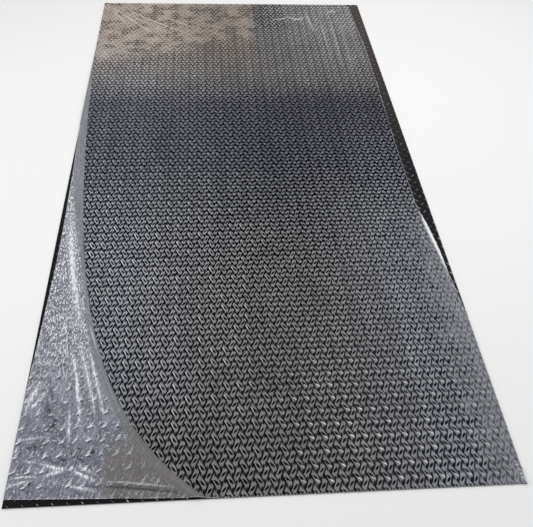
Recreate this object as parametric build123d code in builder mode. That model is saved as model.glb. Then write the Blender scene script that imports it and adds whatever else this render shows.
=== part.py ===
"""Aluminium tread plate: one rolled and sheared sheet, with the clear film that protects its upper face.

The sheet lies flat. X runs across it, Y along it and Z up. The origin is on the underside,
in the middle of the sheet.
"""

import os

from build123d import *

os.makedirs("parts", exist_ok=True)

# Driving dimensions of the sheet, in millimetres: a 4 by 8 foot sheet of 1/8 inch gauge
plate_width = 1219.2
plate_length = 2438.4
plate_gauge = 3.175
shear_roll_radius = 0.4

# Driving dimensions of the film, in millimetres
film_thickness = 0.1
film_side_margin = 41.0
film_side_wave = 9.0
film_left_bow = 11.0
film_front_pull = 19.0
film_far_corner_radius = 38.0

# Where the film's edges turn, as shares of the sheet's length from its near end
right_leaves_edge_share = 0.20
right_reaches_margin_share = 0.41
right_wave_share = 0.76
left_bow_start_share = 0.08
left_bow_middle_share = 0.28
left_bow_end_share = 0.60

# How far the pulled front edge runs from the left side, as a share of the sheet's width
front_pull_share = 0.42

# The flat of the upper face, inside the rolled-over shear edge
flat_right = plate_width / 2 - shear_roll_radius
flat_left = -flat_right
flat_far = plate_length / 2 - shear_roll_radius
flat_near = -flat_far
flat_length = flat_far - flat_near


def along(share):
    """Place along the sheet at a share of its length from the near end."""
    return flat_near + share * flat_length


# Rolled sheet, sheared to size, with the upper edges rolled over by the shear
with BuildPart() as tread_plate:
    with BuildSketch(Plane.XY):
        Rectangle(plate_width, plate_length)
    extrude(amount=plate_gauge)
    upper_edges = tread_plate.faces().sort_by(Axis.Z)[-1].edges()
    fillet(upper_edges, radius=shear_roll_radius)
tread_plate.part.label = "tread_plate"

# Corners and turning points of the film's outline
front_left = (flat_left, flat_near + film_front_pull)
front_meets_edge = (flat_left + front_pull_share * plate_width, flat_near)
front_right = (flat_right, flat_near)
right_leaves_edge = (flat_right, along(right_leaves_edge_share))
right_at_margin = (flat_right - film_side_margin, along(right_reaches_margin_share))
right_at_wave = (flat_right - film_side_margin + film_side_wave, along(right_wave_share))
far_right = (flat_right - film_side_margin, flat_far)
far_left = (flat_left, flat_far)
left_bow_end = (flat_left, along(left_bow_end_share))
left_bow_middle = (flat_left + film_left_bow, along(left_bow_middle_share))
left_bow_start = (flat_left, along(left_bow_start_share))

# Clear film on the flat of the upper face: it has crept in from the right side, bowed in
# on the left and pulled back from the near left corner
with BuildPart() as protective_film:
    with BuildSketch(Plane.XY.offset(plate_gauge)) as film_outline:
        with BuildLine():
            Polyline(left_bow_start, front_left, front_meets_edge, front_right, right_leaves_edge)
            Spline(
                right_leaves_edge,
                right_at_margin,
                right_at_wave,
                far_right,
                tangents=((0, 1), (0, 1)),
            )
            Polyline(far_right, far_left, left_bow_end)
            Spline(left_bow_end, left_bow_middle, left_bow_start, tangents=((0, -1), (0, -1)))
        make_face()
        far_corners = film_outline.vertices().group_by(Axis.Y)[-1]
        fillet(far_corners, radius=film_far_corner_radius)
    extrude(amount=film_thickness)
protective_film.part.label = "protective_film"

export_step(tread_plate.part, "parts/tread_plate.step")
export_step(protective_film.part, "parts/protective_film.step")
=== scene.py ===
"""Aluminium tread plate under its clear protective film: the looks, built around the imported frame.

The sheet lies flat: X runs across it, Y along it to its far end, Z up out of the treaded face.
Places on the sheet are given in millimetres from its near left corner, the way a sheet is
measured in a shop, and are turned into metres about the sheet's middle when a mesh is placed.
"""

import logging
import math
from dataclasses import dataclass
from enum import Enum

import bmesh
import bpy
import numpy as np
from mathutils import Matrix, Vector

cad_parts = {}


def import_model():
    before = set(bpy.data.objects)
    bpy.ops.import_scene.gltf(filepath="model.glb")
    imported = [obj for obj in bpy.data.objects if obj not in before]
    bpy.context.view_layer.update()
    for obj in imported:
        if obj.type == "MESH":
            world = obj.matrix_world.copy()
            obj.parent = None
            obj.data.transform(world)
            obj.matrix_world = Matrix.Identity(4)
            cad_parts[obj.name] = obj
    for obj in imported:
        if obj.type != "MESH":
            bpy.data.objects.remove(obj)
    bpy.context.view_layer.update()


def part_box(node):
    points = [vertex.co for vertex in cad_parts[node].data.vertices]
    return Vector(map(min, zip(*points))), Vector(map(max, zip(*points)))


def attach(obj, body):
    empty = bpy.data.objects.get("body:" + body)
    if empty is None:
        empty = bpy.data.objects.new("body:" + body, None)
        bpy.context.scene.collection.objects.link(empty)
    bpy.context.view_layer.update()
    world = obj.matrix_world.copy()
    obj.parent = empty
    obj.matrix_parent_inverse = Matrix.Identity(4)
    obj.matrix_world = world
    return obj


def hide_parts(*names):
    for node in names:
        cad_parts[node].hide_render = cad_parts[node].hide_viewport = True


LOG = logging.getLogger("tread_plate")
MM = 0.001
ROOT = "root"
# More than any height on the sheet: the marks return across and along it, and not upwards
NO_RETURN = 1000.0
# How far apart the corners of a cut may be and still count as one
CUT_TOLERANCE = 1e-6
# The power of the share of the half length by which a lug, or the tent over it, falls to its ends
END_POWER = 4
# A crease's line is this many points, and it reaches this many of its widths to each side
CREASE_POINTS = 17
CREASE_REACH = 3
# The near white of clear film where it catches the light
GLINT_COLOUR = "#f4f5f8"
# Where a change starts and ends, and the values before and after it
Ramp = tuple[float, float, float, float]


class Lean(Enum):
    """The side that the far end of a lug leans to."""

    RIGHT = 1
    LEFT = -1


class Ray(Enum):
    """Kinds of ray, by their places among the outputs of the light path node."""

    CAMERA = 0
    GLOSSY = 3
    TRANSMISSION = 6


def linear(colour: str) -> tuple[float, float, float, float]:
    """Turn an sRGB hex colour into the linear colour that shaders take.

    Args:
        colour: the colour as "#rrggbb".

    Returns:
        Linear red, green, blue and a full alpha.
    """
    channels = [int(colour[at:at + 2], 16) / 255 for at in (1, 3, 5)]
    curved = [c / 12.92 if c <= 0.04045 else ((c + 0.055) / 1.055) ** 2.4 for c in channels]
    return (*curved, 1.0)


def smooth_rise(value: np.ndarray, low: float, high: float) -> np.ndarray:
    """Rise smoothly from 0 at low to 1 at high.

    Args:
        value: what the rise follows.
        low: where the rise starts.
        high: where it ends.

    Returns:
        The rise, from 0 to 1.
    """
    share = np.clip((value - low) / (high - low), 0.0, 1.0)
    return share * share * (3.0 - 2.0 * share)


class Nodes:
    """A node tree, with the one function that adds nodes to it."""

    def __init__(self, tree: bpy.types.NodeTree) -> None:
        """Start with the tree emptied."""
        self.tree = tree
        self.tree.nodes.clear()

    def add(self, kind: str, *values: object, named: dict | None = None, output: int = 0,
            **settings: object) -> bpy.types.NodeSocket | None:
        """Add a node with its settings and links.

        Args:
            kind: the node's type, without the ShaderNode prefix.
            values: what its live inputs take in order, each a socket, a constant, or None to skip.
            named: what its inputs take by name.
            output: which of its live outputs is wanted.
            settings: the node's own properties.

        Returns:
            The wanted output socket, if the node has one.
        """
        node = self.tree.nodes.new("ShaderNode" + kind)
        for key, value in settings.items():
            setattr(node, key, value)
        pairs = list(zip([socket for socket in node.inputs if socket.enabled], values))
        pairs += [(node.inputs[key], value) for key, value in (named or {}).items()]
        for socket, value in pairs:
            if isinstance(value, bpy.types.NodeSocket):
                self.tree.links.new(value, socket)
            elif value is not None:
                socket.default_value = value
        outputs = [socket for socket in node.outputs if socket.enabled]
        return outputs[output] if outputs else None


class Finish(Nodes):
    """A material with its node tree."""

    def __init__(self, name: str) -> None:
        """Make the material, with an empty tree.

        Args:
            name: what it is called.
        """
        self.material = bpy.data.materials.new(name)
        self.material.use_nodes = True
        super().__init__(self.material.node_tree)


@dataclass(frozen=True)
class Sheet:
    """The rolled sheet's size as the frame has it, in millimetres."""

    width: float
    length: float
    gauge: float

    @classmethod
    def from_frame(cls) -> "Sheet":
        """Measure the sheet's node in the frame."""
        low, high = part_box("tread_plate")
        size = [(top - bottom) / MM for bottom, top in zip(low, high)]
        return cls(*size)

    def metres(self, across: float, along: float, height: float = 0.0) -> Vector:
        """Turn a place in millimetres, with its height over the flat, into metres."""
        return Vector((across - self.width / 2, along - self.length / 2, self.gauge + height)) * MM

    def place_nodes(self, finish: Finish) -> bpy.types.NodeSocket:
        """Add the nodes that tell a finish its place on the sheet.

        Args:
            finish: the finish that takes the nodes.

        Returns:
            Socket of the place, in millimetres from the near left corner and over the flat.
        """
        place = finish.add("TexCoord", output=3)
        shift = (self.width / 2, self.length / 2, -self.gauge)
        return finish.add("Mapping", place, named={"Location": shift, "Scale": (1 / MM,) * 3})


@dataclass(frozen=True)
class TreadPattern:
    """Where the rolls press the lugs: two leans, each on its own lattice, half a pitch apart."""

    pitch_across: float = 33.4
    pitch_along: float = 37.2
    left_lug_across: float = 13.7
    left_lug_along: float = 0.9

    @property
    def lean_angle(self) -> float:
        """The angle between a lug and the length of the sheet: it points at its neighbour's flank."""
        return math.atan2(self.pitch_across, self.pitch_along)

    def start(self, lean: Lean) -> tuple[float, float]:
        """The first lug of one lean, from the near left corner.

        Args:
            lean: which of the two lattices.

        Returns:
            Its place across and along the sheet, in millimetres.
        """
        if lean is Lean.LEFT:
            return self.left_lug_across, self.left_lug_along
        return self.left_lug_across + self.pitch_across / 2, self.left_lug_along + self.pitch_along / 2

    def axis(self, lean: Lean) -> tuple[float, float, float]:
        """The direction that a lug of this lean points in, away from the near end."""
        return (lean.value * math.sin(self.lean_angle), math.cos(self.lean_angle), 0.0)

    def side(self, lean: Lean) -> tuple[float, float, float]:
        """The direction square to a lug of this lean, towards the sheet's right side."""
        return (math.cos(self.lean_angle), -lean.value * math.sin(self.lean_angle), 0.0)

    def from_nearest(self, across: np.ndarray, along: np.ndarray, lean: Lean) -> tuple:
        """Measure places from the middle of their nearest lug.

        Args:
            across: places across the sheet, in millimetres.
            along: places along the sheet.
            lean: which of the two lattices.

        Returns:
            The distances along the lug and to its side.
        """
        start = self.start(lean)
        right = (across - start[0] + self.pitch_across / 2) % self.pitch_across - self.pitch_across / 2
        away = (along - start[1] + self.pitch_along / 2) % self.pitch_along - self.pitch_along / 2
        axis = self.axis(lean)
        side = self.side(lean)
        return right * axis[0] + away * axis[1], right * side[0] + away * side[1]


@dataclass(frozen=True)
class Mark:
    """A pointed oval that returns at every lug: a dark line where the film sticks, or a glint.

    Its middle is given from a lug that leans left, its angle from the length of the sheet.
    """

    middle: tuple[float, float]
    angle: float
    half_length: float
    half_width: float
    strength: float = 1.0
    side_strength: float = 1.0
    far_strength: float = 1.0
    blur: float = 0.45

    def mask(self, finish: Finish, on_sheet: object, pattern: TreadPattern, spread: object,
             sides: object = 0.0, farther: object = 0.0) -> object:
        """Add the nodes that tell the oval's inside, as strong as it is there.

        Args:
            finish: the finish that takes the nodes.
            on_sheet: socket of the place on the sheet, in millimetres.
            pattern: the tread pattern, for its pitches.
            spread: how much wider than its half width the oval is, a socket or a constant.
            sides: how much a place is at the sheet's sides, where the strength is another.
            farther: how much it is farther up the sheet, where it is another again.

        Returns:
            Socket of the strength inside and 0 outside.
        """
        half = (pattern.pitch_across / 2, pattern.pitch_along / 2, NO_RETURN)
        minus_half = tuple(-size for size in half)
        start = pattern.start(Lean.LEFT)
        middle = (start[0] + self.middle[0], start[1] + self.middle[1], 0.0)
        turn = math.radians(self.angle)
        place = finish.add("VectorMath", on_sheet, middle, operation="SUBTRACT")
        place = finish.add("VectorMath", place, half, minus_half, operation="WRAP")
        ahead = finish.add("VectorMath", place, (math.sin(turn), math.cos(turn), 0.0),
                           operation="DOT_PRODUCT")
        aside = finish.add("VectorMath", place, (math.cos(turn), -math.sin(turn), 0.0),
                           operation="DOT_PRODUCT")
        squared = finish.add("Math", ahead, ahead, operation="MULTIPLY")
        edge = finish.add("Math", aside, operation="ABSOLUTE")
        taper = self.half_width / self.half_length ** 2
        edge = finish.add("Math", squared, taper, edge, operation="MULTIPLY_ADD")
        edge = finish.add("Math", edge, spread, operation="SUBTRACT")
        strength = finish.add("MapRange", farther, 0.0, 1.0, self.strength, self.far_strength)
        strength = finish.add("MapRange", sides, 0.0, 1.0, strength, self.side_strength)
        return finish.add("MapRange", edge, self.half_width - self.blur, self.half_width + self.blur,
                          strength, 0.0, interpolation_type="SMOOTHSTEP")


@dataclass(frozen=True)
class Lens:
    """A pointed oval, the plan of the film's tent over a lug."""

    half_length: float
    half_width: float


@dataclass(frozen=True)
class Cloud:
    """A cloudy pattern: its size across and along the sheet, in millimetres, and its finer detail.

    The film's real wrinkles and flecks are finer than a pixel: the smallest clouds are drawn a few
    millimetres wide, so that they show.
    """

    across: float
    along: float
    detail: float

    def add(self, finish: Finish, on_sheet: object) -> object:
        """Add the nodes of the pattern.

        Args:
            finish: the finish that takes the nodes.
            on_sheet: socket of the place on the sheet, in millimetres.

        Returns:
            Socket of the pattern, about 0.5 on average.
        """
        scale = (1 / self.across, 1 / self.along, 1 / self.across)
        scaled = finish.add("Mapping", on_sheet, named={"Scale": scale})
        return finish.add("TexNoise", scaled, named={"Scale": 1.0, "Detail": self.detail})


@dataclass(frozen=True)
class RolledAluminium:
    """Mill-finish aluminium from patterned rolls.

    The rolls leave the flats as a dull mirror with fine streaks along the sheet. The flats are painted
    near-black, browner farther up, as a painted reflection of dark surroundings, and the lugs' crests
    are painted pale as painted highlights. The underside and the sheared edges are plain pale mill metal.
    """

    dark_reflection_colour: str = "#1d1c1f"
    brown_reflection_colour: str = "#3c342f"
    crest_highlight_colour: str = "#b4b6b8"
    plain_colour: str = "#a3a4a6"
    flat_roughness: float = 0.3
    plain_roughness: float = 0.42
    streaks: Cloud = Cloud(2.0, 400.0, 3.0)
    streak_tones: Ramp = (0.3, 0.7, 0.8, 1.2)
    grain_strength: float = 0.15
    grain_depth: float = 0.0002
    specks: Cloud = Cloud(15.0, 15.0, 1.0)
    crest_highlight_specks: Ramp = (0.47, 0.6, 0.16, 1.0)
    duller_farther_up: Ramp = (150.0, 1500.0, 1.0, 0.8)
    browner_farther_up: Ramp = (1200.0, 2000.0, 0.0, 1.0)
    treaded_face: Ramp = (-0.6, -0.3, 0.0, 1.0)
    crest_height: float = 1.5
    crest_share: float = 0.75

    def material(self, sheet: Sheet) -> bpy.types.Material:
        """Make the finish.

        Args:
            sheet: the sheet that it is on.

        Returns:
            The material, for the sheet and its lugs alike.
        """
        finish = Finish("rolled_aluminium")
        on_sheet = sheet.place_nodes(finish)
        along = finish.add("SeparateXYZ", on_sheet, output=1)
        height = finish.add("SeparateXYZ", on_sheet, output=2)
        # The roll's streaks are well under a millimetre wide: drawn about 2 mm wide, so that they show
        streaks = self.streaks.add(finish, on_sheet)
        # Painted highlights: the lugs' crests are painted pale, in specks, duller farther up
        highlight_share = finish.add("MapRange", self.specks.add(finish, on_sheet), *self.crest_highlight_specks)
        dull = finish.add("MapRange", along, *self.duller_farther_up)
        highlight_share = finish.add("Math", highlight_share, dull, operation="MULTIPLY")
        crest = finish.add("MapRange", height, self.crest_share * self.crest_height, self.crest_height,
                           0.0, highlight_share, interpolation_type="SMOOTHSTEP")
        treaded = finish.add("MapRange", height, *self.treaded_face, interpolation_type="SMOOTHSTEP")
        # Painted reflection: the flats are near-black, browner farther up, for the dark surroundings that
        # the metal mirrors
        far = finish.add("MapRange", along, *self.browner_farther_up)
        flat = finish.add("Mix", far, linear(self.dark_reflection_colour), linear(self.brown_reflection_colour), data_type="RGBA")
        colour = finish.add("Mix", crest, flat, linear(self.crest_highlight_colour), data_type="RGBA")
        colour = finish.add("Mix", treaded, linear(self.plain_colour), colour, data_type="RGBA")
        tone = finish.add("MapRange", streaks, *self.streak_tones)
        colour = finish.add("VectorMath", colour, named={"Scale": tone}, operation="SCALE")
        rough = finish.add("MapRange", treaded, 0.0, 1.0, self.plain_roughness, self.flat_roughness)
        grain = finish.add("Bump", named={"Strength": self.grain_strength,
                                          "Distance": self.grain_depth, "Height": streaks})
        shader = finish.add("BsdfPrincipled", named={"Base Color": colour, "Metallic": 1.0,
                                                     "Roughness": rough, "Normal": grain})
        finish.add("OutputMaterial", shader)
        return finish.material


@dataclass(frozen=True)
class Region:
    """A soft-edged box on the sheet, in millimetres from its near left corner."""

    left: tuple[float, float]
    right: tuple[float, float]
    near: tuple[float, float]
    far: tuple[float, float]

    def mask(self, finish: Finish, across: object, along: object) -> object:
        """Add the nodes that tell the region's inside.

        Args:
            finish: the finish that takes the nodes.
            across: socket of the place across the sheet.
            along: socket of the place along it.

        Returns:
            Socket of 1 inside, falling to 0 over each side's two values.
        """
        sides = ((across, *self.left, 0.0, 1.0), (across, *self.right, 1.0, 0.0),
                 (along, *self.near, 0.0, 1.0), (along, *self.far, 1.0, 0.0))
        mask = 1.0
        for side in sides:
            rise = finish.add("MapRange", *side, interpolation_type="SMOOTHSTEP")
            mask = finish.add("Math", rise, mask, operation="MULTIPLY")
        return mask


@dataclass(frozen=True)
class LooseCorner:
    """The film's loose near left corner, inside a hyperbola that bends along the two sides."""

    product: float = 209500.0
    beyond_left: float = 85.5
    beyond_near: float = 381.0
    channel_width: float = 28.0
    waist_width: float = 13.0
    far_channel_width: float = 40.0
    narrowing: tuple[float, float] = (300.0, 640.0)
    widening: tuple[float, float] = (740.0, 1140.0)
    channel_height: float = 3.6
    lift: float = 2.4
    rise: float = 12.0

    def distance(self, across: np.ndarray, along: np.ndarray) -> np.ndarray:
        """Measure how far places are from the corner's border.

        Args:
            across: places across the sheet.
            along: places along it.

        Returns:
            The distances in millimetres, below 0 inside the corner.
        """
        gap = across + self.beyond_left - self.product / (along + self.beyond_near)
        slope = self.product / (along + self.beyond_near) ** 2
        return gap / np.sqrt(1.0 + slope * slope)

    def distance_nodes(self, finish: Finish, across: object, along: object) -> object:
        """Add the nodes that measure the same distance.

        Args:
            finish: the finish that takes the nodes.
            across: socket of the place across the sheet.
            along: socket of the place along it.

        Returns:
            Socket of the distance in millimetres.
        """
        depth = finish.add("Math", along, self.beyond_near, operation="ADD")
        border = finish.add("Math", self.product, depth, operation="DIVIDE")
        slope = finish.add("Math", border, depth, operation="DIVIDE")
        square = finish.add("Math", slope, slope, 1.0, operation="MULTIPLY_ADD")
        steepness = finish.add("Math", square, operation="SQRT")
        gap = finish.add("Math", across, self.beyond_left, operation="ADD")
        gap = finish.add("Math", gap, border, operation="SUBTRACT")
        return finish.add("Math", gap, steepness, operation="DIVIDE")


@dataclass(frozen=True)
class Crease:
    """A crease or a trough in the film along a bent line, in millimetres."""

    start: tuple[float, float]
    bend: tuple[float, float]
    end: tuple[float, float]
    width: float
    height: float
    shine: float = 1.0

    def profile(self, across: np.ndarray, along: np.ndarray) -> np.ndarray:
        """Work out how much of the crease's full height places have.

        Args:
            across: places across the sheet.
            along: places along it.

        Returns:
            The share of the height: 1 on the line, 0 beside it and at its ends.
        """
        steps = np.linspace(0.0, 1.0, CREASE_POINTS)
        weights = np.stack([(1 - steps) ** 2, 2 * steps * (1 - steps), steps ** 2], axis=1)
        line = weights @ np.array([self.start, self.bend, self.end])
        profile = np.zeros_like(across)
        reach = CREASE_REACH * self.width
        near = ((across > line[:, 0].min() - reach) & (across < line[:, 0].max() + reach)
                & (along > line[:, 1].min() - reach) & (along < line[:, 1].max() + reach))
        places = np.stack([across[near], along[near]], axis=1)
        if not len(places):
            return profile
        closest = np.full(len(places), np.inf)
        share = np.zeros(len(places))
        for number in range(len(line) - 1):
            run = line[number + 1] - line[number]
            part = np.clip(((places - line[number]) @ run) / (run @ run), 0.0, 1.0)
            gap = np.linalg.norm(places - line[number] - part[:, None] * run, axis=1)
            share = np.where(gap < closest, (number + part) / (len(line) - 1), share)
            closest = np.minimum(closest, gap)
        taper = np.sqrt(np.clip(np.sin(np.pi * share), 0.0, 1.0))
        profile[near] = taper * np.exp(-(closest / self.width) ** 2)
        return profile


@dataclass(frozen=True)
class Warp:
    """A shift of places by at most its reach, in millimetres, which makes repeated marks uneven."""

    reach: float
    size: float = 45.0

    def add(self, finish: Finish, on_sheet: object) -> object:
        """Add the nodes of the shift.

        Args:
            finish: the finish that takes the nodes.
            on_sheet: socket of the place on the sheet.

        Returns:
            Socket of the shifted place.
        """
        warp = finish.add("Mapping", on_sheet, named={"Scale": (1 / self.size,) * 3})
        warp = finish.add("TexNoise", warp, named={"Scale": 1.0, "Detail": 1.0}, output=1)
        warp = finish.add("VectorMath", warp, (0.5, 0.5, 0.5), operation="SUBTRACT")
        return finish.add("VectorMath", warp, (self.reach,) * 3, on_sheet, operation="MULTIPLY_ADD")


@dataclass(frozen=True)
class Spot:
    """The sockets that tell a finish where on the sheet it is, in millimetres, and its pattern."""

    on_sheet: object
    across: object
    along: object
    pattern: TreadPattern


@dataclass(frozen=True)
class MarkGroup:
    """Dark marks that change alike over the sheet.

    They fade and widen by a share farther up, and where the film is slack they are left between
    their loosest and their tightest share.
    """

    marks: tuple
    faded: float
    widened: float
    loosest: float
    tightest: float


@dataclass(frozen=True)
class StuckFilm:
    """The film where it sticks to the flats and the crests, in a net round the lugs' tents.

    Stuck film is clear, so the metal shows through it as lines and slits, painted near-black and
    navy as a painted reflection of the dark surroundings that the metal mirrors. The tents scatter
    light and look grey, and their flanks and tips glint as painted highlights.
    """

    pressed_reflection_colour: str = "#07060b"
    navy_pressed_reflection_colour: str = "#0a0d1c"
    haze_colour: str = "#7f7c7b"
    cool_colour: str = "#7b7d82"
    warm_colour: str = "#8c827a"
    warp: Warp = Warp(5.0)
    slits: MarkGroup = MarkGroup((
        Mark((0.3, -1.0), -40.0, 9.6, 3.2, 1.0, 0.92),
        Mark((16.9, 17.4), 40.0, 9.0, 2.9),
    ), faded=0.25, widened=0.0, loosest=0.5, tightest=1.0)
    lines: MarkGroup = MarkGroup((
        Mark((-6.7, -3.8), -22.0, 16.7, 2.2, 1.0, 1.0, 1.0),
        Mark((8.5, 1.5), -25.0, 12.8, 1.85, 1.0, 1.0, 1.0),
        Mark((9.7, -17.0), 21.0, 13.2, 2.45, 0.97, 0.95, 0.95),
        Mark((-8.9, 16.8), 18.0, 12.8, 2.3, 0.95, 0.98, 1.0),
        Mark((-0.8, 17.7), -42.0, 11.0, 3.7, 0.6, 0.45, 0.95),
        Mark((17.9, 0.0), 68.0, 13.9, 3.4, 0.6, 0.27, 0.85),
    ), faded=0.17, widened=0.0, loosest=0.2, tightest=0.85)
    corners: MarkGroup = MarkGroup((
        Mark((-12.4, 3.2), -1.0, 8.8, 3.3, 0.92, 0.7, 1.0),
        Mark((-2.6, -14.0), -7.0, 6.8, 2.7, 0.68, 0.82, 1.0),
        Mark((4.6, 14.6), 7.0, 8.0, 3.8, 0.9, 0.97, 1.0),
        Mark((12.7, -4.5), 9.0, 8.5, 3.4, 0.88, 0.85, 1.0),
    ), faded=0.0, widened=0.25, loosest=0.5, tightest=1.0)
    spread_farther_up: Ramp = (650.0, 1250.0, 0.08, 0.88)
    near_end: Ramp = (800.0, 1050.0, 1.0, 0.0)
    right_strip: Ramp = (820.0, 1060.0, 0.0, 1.0)
    near_right_spread: float = -0.12
    spread_cloud: Cloud = Cloud(18.0, 18.0, 1.0)
    uneven_spread: Ramp = (0.2, 0.8, -0.8, 0.8)
    farther_up: Ramp = (300.0, 1000.0, 0.0, 1.0)
    left_side_share: float = 0.8
    fading_farther_up: Ramp = (850.0, 1600.0, 0.0, 1.0)
    cluster_cloud: Cloud = Cloud(70.0, 65.0, 2.0)
    cluster_borders: Ramp = (0.45, 0.62, 0.0, 1.0)
    slack_slant: float = 0.3
    side_cloud: Cloud = Cloud(30.0, 60.0, 2.0)
    side_unevenness: float = 260.0
    slack_side: Ramp = (1235.0, 1325.0, 0.0, -0.55)
    far_veil: float = 0.14
    patch_veil: float = -0.3
    crease_veil: Ramp = (0.1, 0.6, 0.0, 0.8)
    crease_glint: Ramp = (0.3, 0.8, 0.0, 0.55)
    flank_glint: Mark = Mark((-5.4, 2.6), -28.0, 9.4, 1.1)
    tip_glint: Mark = Mark((5.2, -8.3), -50.0, 7.2, 1.2)
    slit_glint: Mark = Mark((12.9, 18.7), 26.0, 5.5, 0.7, 0.16, 0.06, 0.3)
    glint_cloud: Cloud = Cloud(40.0, 40.0, 2.0)
    flank_evenness: Ramp = (0.34, 0.64, 0.1, 1.0)
    tip_evenness: Ramp = (0.36, 0.6, 0.25, 1.0)
    right_side_rise: Ramp = (800.0, 1030.0, 0.0, 1.0)
    cooler_farther_up: Ramp = (500.0, 1000.0, 0.0, 0.8)
    far_neutral: float = -0.8
    band_tint: tuple = (0.98, 0.965, 1.035, 1.0)
    tone_farther_up: Ramp = (300.0, 900.0, 1.0, 1.15)
    far_haze_tone: float = 0.45
    dark_band_tone: float = -0.28
    left_tone: float = 0.41
    right_tone: float = 0.27
    far_right_tone: float = 0.34
    slack_tone: float = -0.06
    dark_right_tone: float = -0.14
    haze_clouds: tuple = (Cloud(45.0, 900.0, 2.0), Cloud(90.0, 90.0, 4.0), Cloud(9.0, 12.0, 2.0))
    haze_cloud_tones: Ramp = (0.3, 0.7, 0.88, 1.12)
    dark_band: Region = Region((-400.0, 0.0), (1300.0, 1500.0), (900.0, 1350.0), (1590.0, 1680.0))
    far_haze: Region = Region((-400.0, 0.0), (1300.0, 1500.0), (1590.0, 1830.0), (2500.0, 2600.0))
    warm_corner: Region = Region((-400.0, 0.0), (640.0, 740.0), (1700.0, 2150.0), (2500.0, 2600.0))
    slack_corner: Region = Region((-400.0, 0.0), (690.0, 720.0), (1840.0, 1960.0), (2500.0, 2600.0))
    dark_patch: Region = Region((690.0, 720.0), (790.0, 880.0), (2150.0, 2280.0), (2500.0, 2600.0))
    right_side: Region = Region((760.0, 1000.0), (1300.0, 1500.0), (-300.0, -100.0), (700.0, 1300.0))
    far_right: Region = Region((600.0, 960.0), (1300.0, 1500.0), (1950.0, 2350.0), (2500.0, 2600.0))
    right_dip: Region = Region((-400.0, 0.0), (1300.0, 1500.0), (1250.0, 1580.0), (1700.0, 2000.0))
    dark_right: Region = Region((640.0, 800.0), (1300.0, 1500.0), (1300.0, 1560.0), (1640.0, 1760.0))
    left_side: Region = Region((-300.0, -200.0), (150.0, 640.0), (60.0, 340.0), (2500.0, 2600.0))
    flank_glints: Region = Region((-100.0, -50.0), (420.0, 860.0), (-160.0, 460.0), (950.0, 1650.0))
    tip_glints: Region = Region((600.0, 740.0), (860.0, 1500.0), (-200.0, -100.0), (170.0, 640.0))

    def colour(self, finish: Finish, spot: Spot) -> object:
        """Add the nodes of the stuck film's colour.

        Args:
            finish: the finish that takes the nodes.
            spot: where on the sheet it is.

        Returns:
            Socket of the colour.
        """
        warped = self.warp.add(finish, spot.on_sheet)
        left_side = self.left_side.mask(finish, spot.across, spot.along)
        right_side = self.right_side.mask(finish, spot.across, spot.along)
        farther = finish.add("MapRange", spot.along, *self.farther_up)
        sides = finish.add("Math", left_side, self.left_side_share, operation="MULTIPLY")
        sides = finish.add("Math", sides, right_side, operation="MAXIMUM")
        slanted = finish.add("Math", spot.across, -self.slack_slant, spot.along, operation="MULTIPLY_ADD")
        slack = self.slack_corner.mask(finish, spot.across, slanted)
        far_haze = self.far_haze.mask(finish, spot.across, spot.along)
        dark_band = self.dark_band.mask(finish, spot.across, spot.along)
        crease = finish.add("Attribute", attribute_name="crease", output=2)
        grey = self._tents(finish, spot, warped, sides, farther, slack)
        veil = self._veil(finish, spot, far_haze, crease)
        grey = finish.add("Math", grey, veil, operation="MAXIMUM")
        # The tents' grey, with painted reflections in bands of tone and tint over the sheet
        hazy_reflections = self._haze_and_reflections(finish, spot, far_haze, dark_band, left_side, slack)
        # Painted reflection: the clear marks show the metal near-black, navy at the sides and in the dark
        # band
        blue = finish.add("Math", left_side, right_side, operation="MAXIMUM")
        blue = finish.add("Math", dark_band, blue, operation="MAXIMUM")
        pressed = finish.add("Mix", blue, linear(self.pressed_reflection_colour), linear(self.navy_pressed_reflection_colour),
                             data_type="RGBA")
        colour = finish.add("Mix", grey, pressed, hazy_reflections, data_type="RGBA")
        glints = self._glints(finish, spot, warped, sides, farther, crease)
        return finish.add("Mix", glints, colour, linear(GLINT_COLOUR), data_type="RGBA")

    def _tents(self, finish: Finish, spot: Spot, warped: object, sides: object, farther: object,
               slack: object) -> object:
        """Add the nodes that tell the grey tents from the clear marks between them.

        Args:
            finish: the finish that takes the nodes.
            spot: where on the sheet it is.
            warped: socket of the shifted place, for the marks.
            sides: socket of how much it is at the sheet's sides.
            farther: socket of how much it is farther up the sheet.
            slack: socket of the slack far corner.

        Returns:
            Socket of 1 on a tent and 0 in a mark.
        """
        spread = finish.add("MapRange", spot.along, *self.spread_farther_up)
        near = finish.add("MapRange", spot.along, *self.near_end)
        right = finish.add("MapRange", spot.across, *self.right_strip)
        near_right = finish.add("Math", near, right, operation="MULTIPLY")
        spread = finish.add("Math", near_right, self.near_right_spread, spread, operation="MULTIPLY_ADD")
        uneven = self.spread_cloud.add(finish, spot.on_sheet)
        uneven = finish.add("MapRange", uneven, *self.uneven_spread)
        spread = finish.add("Math", spread, uneven, operation="ADD")
        clusters = self.cluster_cloud.add(finish, spot.on_sheet)
        clusters = finish.add("MapRange", clusters, *self.cluster_borders, interpolation_type="SMOOTHSTEP")
        fading = finish.add("MapRange", spot.along, *self.fading_farther_up)
        at_side = self.side_cloud.add(finish, spot.on_sheet)
        at_side = finish.add("Math", at_side, self.side_unevenness, spot.across, operation="MULTIPLY_ADD")
        at_side = finish.add("MapRange", at_side, *self.slack_side)
        at_side = finish.add("Math", at_side, near, 1.0, operation="MULTIPLY_ADD")
        grey = 1.0
        for group in (self.slits, self.lines, self.corners):
            width = spread
            if group.widened:
                width = finish.add("Math", fading, group.widened, spread, operation="MULTIPLY_ADD")
            sticks = finish.add("MapRange", clusters, 0.0, 1.0, group.loosest, group.tightest)
            sticks = finish.add("Mix", slack, 1.0, sticks, data_type="FLOAT")
            sticks = finish.add("Math", sticks, at_side, operation="MULTIPLY")
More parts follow.
